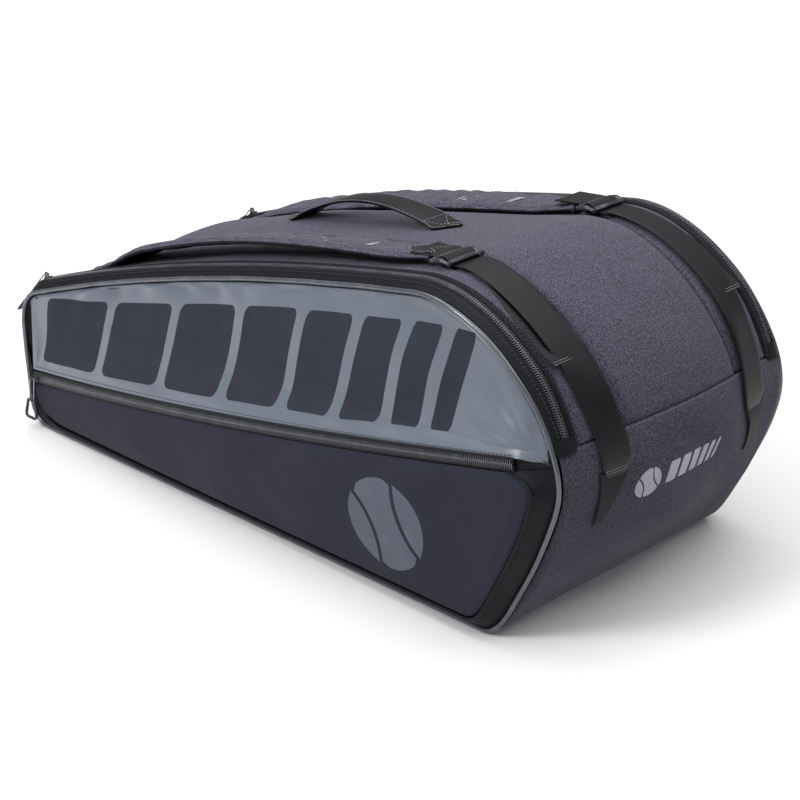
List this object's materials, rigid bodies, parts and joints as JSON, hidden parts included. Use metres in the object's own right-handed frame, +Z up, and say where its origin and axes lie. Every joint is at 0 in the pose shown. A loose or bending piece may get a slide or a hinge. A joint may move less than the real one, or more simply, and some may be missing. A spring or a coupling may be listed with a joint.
{
  "type": "racket tournament bag",
  "caption": "Soft racket bag with a padded shell, two racket compartments, zipped side pockets, shoulder straps and a carry handle.",
  "frame": {"origin": "on the floor, under the middle of the bag", "axes": "+X towards the wide end for the racket heads, -Y the near side with the first pocket, +Z up"},
  "size_m": [0.79, 0.385, 0.3209],
  "materials": {
    "shell_fabric": "melange polyester, padded",
    "coated_fabric": "satin coated polyester",
    "pocket_fabric": "fine twill polyester",
    "black_nylon": "smooth nylon",
    "base_fabric": "coated nylon",
    "lining": "polyester lining",
    "base_board": "polyethylene board",
    "piping": "coated piping cord",
    "zip": "nylon coil zip",
    "slider_metal": "dark plated zinc and steel wire",
    "puller_plastic": "moulded rubber",
    "buckle_plastic": "moulded acetal",
    "webbing": "woven polyester webbing"
  },
  "bodies": {
    "bag_body": {"bottom_panel": "base_fabric", "base_board": "base_board", "narrow_end_panel": "shell_fabric", "wide_end_panel": "shell_fabric", "top_gusset": "shell_fabric", "compartment_divider": "lining", "handle_foot_narrow": "webbing", "handle_foot_wide": "webbing", "near_gusset_band": "shell_fabric", "near_main_zip_inner_half": "zip", "near_panel_lower": "coated_fabric", "near_lower_piping": "piping", "near_pocket_zip_upper_half": "zip", "near_pocket_wall": "black_nylon", "near_pocket_back": "lining", "near_strap_webbing": "webbing", "near_strap_tail": "webbing", "near_anchor_tab": "black_nylon", "far_gusset_band": "shell_fabric", "far_main_zip_inner_half": "zip", "far_panel_lower": "coated_fabric", "far_lower_piping": "piping", "far_pocket_zip_upper_half": "zip", "far_pocket_wall": "black_nylon", "far_pocket_back": "lining", "far_strap_webbing": "webbing", "far_strap_tail": "webbing", "far_anchor_tab": "black_nylon"},
    "near_side_flap": {"near_panel_upper": "coated_fabric", "near_upper_piping": "piping", "near_main_zip_outer_half": "zip"},
    "near_main_slider": {"near_main_slider": "slider_metal"},
    "near_main_puller": {"near_main_bail": "slider_metal", "near_main_tab": "puller_plastic"},
    "near_pocket_flap": {"near_pocket_front": "pocket_fabric", "near_pocket_welt": "piping", "near_pocket_zip_lower_half": "zip"},
    "near_pocket_slider": {"near_pocket_slider": "slider_metal"},
    "near_pocket_puller": {"near_pocket_bail": "slider_metal", "near_pocket_puller": "puller_plastic"},
    "near_strap": {"near_shoulder_pad": "shell_fabric"},
    "near_buckle": {"near_buckle": "buckle_plastic"},
    "far_side_flap": {"far_panel_upper": "coated_fabric", "far_upper_piping": "piping", "far_main_zip_outer_half": "zip"},
    "far_main_slider": {"far_main_slider": "slider_metal"},
    "far_main_puller": {"far_main_bail": "slider_metal", "far_main_tab": "puller_plastic"},
    "far_pocket_flap": {"far_pocket_front": "pocket_fabric", "far_pocket_welt": "piping", "far_pocket_zip_lower_half": "zip"},
    "far_pocket_slider": {"far_pocket_slider": "slider_metal"},
    "far_pocket_puller": {"far_pocket_bail": "slider_metal", "far_pocket_puller": "puller_plastic"},
    "far_strap": {"far_shoulder_pad": "shell_fabric"},
    "far_buckle": {"far_buckle": "buckle_plastic"},
    "carry_handle": {"carry_handle": "webbing"}
  },
  "joints": [
    {"name": "near_side_panel_fold", "type": "hinge", "parent": "bag_body", "child": "near_side_flap", "pos_m": [-0.35955, -0.17896, 0.14068], "axis": [0.9965, 0, 0.083], "range_deg": [0, 75]},
    {"name": "near_main_slider_travel", "type": "hinge", "parent": "near_side_flap", "child": "near_main_slider", "pos_m": [0.67279, -0.1464, -2.56734], "axis": [0, 1, 0], "range_deg": [0, 10.77], "deforming": ["near_main_bail", "near_main_tab"]},
    {"name": "near_main_puller_swing", "type": "hinge", "parent": "near_main_slider", "child": "near_main_puller", "pos_m": [-0.34529, -0.14645, 0.17328], "axis": [0, 1, 0], "range_deg": [0, 140]},
    {"name": "near_pocket_lean", "type": "hinge", "parent": "bag_body", "child": "near_pocket_flap", "pos_m": [-0.33, -0.16836, 0.008], "axis": [0.9998, -0.0189, 0], "range_deg": [0, 10]},
    {"name": "near_pocket_slider_travel", "type": "hinge", "parent": "near_pocket_flap", "child": "near_pocket_slider", "pos_m": [0.04581, 2.77888, 0.1321], "axis": [-0.1834, 0, 0.983], "range_deg": [0, 13.2]},
    {"name": "near_pocket_puller_swing", "type": "hinge", "parent": "near_pocket_slider", "child": "near_pocket_puller", "pos_m": [-0.35118, -0.17076, 0.05802], "axis": [-0.983, 0, -0.1834], "range_deg": [0, 110]},
    {"name": "near_strap_lift", "type": "hinge", "parent": "bag_body", "child": "near_strap", "pos_m": [-0.303, -0.1, 0.1814], "axis": [0, -1, 0], "range_deg": [0, 8], "deforming": ["near_strap_webbing", "near_strap_tail"]},
    {"name": "near_buckle_tilt", "type": "hinge", "parent": "near_strap", "child": "near_buckle", "pos_m": [0.187, -0.1, 0.31589], "axis": [0, -1, 0], "range_deg": [0, 30]},
    {"name": "far_side_panel_fold", "type": "hinge", "parent": "bag_body", "child": "far_side_flap", "pos_m": [-0.35955, 0.17896, 0.14068], "axis": [-0.9965, 0, -0.083], "range_deg": [0, 75]},
    {"name": "far_main_slider_travel", "type": "hinge", "parent": "far_side_flap", "child": "far_main_slider", "pos_m": [0.67279, 0.1464, -2.56734], "axis": [0, 1, 0], "range_deg": [0, 10.77], "deforming": ["far_main_bail", "far_main_tab"]},
    {"name": "far_main_puller_swing", "type": "hinge", "parent": "far_main_slider", "child": "far_main_puller", "pos_m": [-0.34529, 0.14645, 0.17328], "axis": [0, 1, 0], "range_deg": [0, 140]},
    {"name": "far_pocket_lean", "type": "hinge", "parent": "bag_body", "child": "far_pocket_flap", "pos_m": [-0.33, 0.16836, 0.008], "axis": [-0.9998, -0.0189, 0], "range_deg": [0, 10]},
    {"name": "far_pocket_slider_travel", "type": "hinge", "parent": "far_pocket_flap", "child": "far_pocket_slider", "pos_m": [0.04581, -2.77888, 0.1321], "axis": [0.1834, 0, -0.983], "range_deg": [0, 13.2]},
    {"name": "far_pocket_puller_swing", "type": "hinge", "parent": "far_pocket_slider", "child": "far_pocket_puller", "pos_m": [-0.35118, 0.17076, 0.05802], "axis": [0.983, 0, 0.1834], "range_deg": [0, 110]},
    {"name": "far_strap_lift", "type": "hinge", "parent": "bag_body", "child": "far_strap", "pos_m": [-0.303, 0.1, 0.1814], "axis": [0, -1, 0], "range_deg": [0, 8], "deforming": ["far_strap_webbing", "far_strap_tail"]},
    {"name": "far_buckle_tilt", "type": "hinge", "parent": "far_strap", "child": "far_buckle", "pos_m": [0.187, 0.1, 0.31589], "axis": [0, -1, 0], "range_deg": [0, 30]},
    {"name": "carry_handle_lean", "type": "hinge", "parent": "bag_body", "child": "carry_handle", "pos_m": [-0.1, 0, 0.25889], "axis": [0.9825, 0, 0.1861], "range_deg": [-15, 15]}
  ]
}
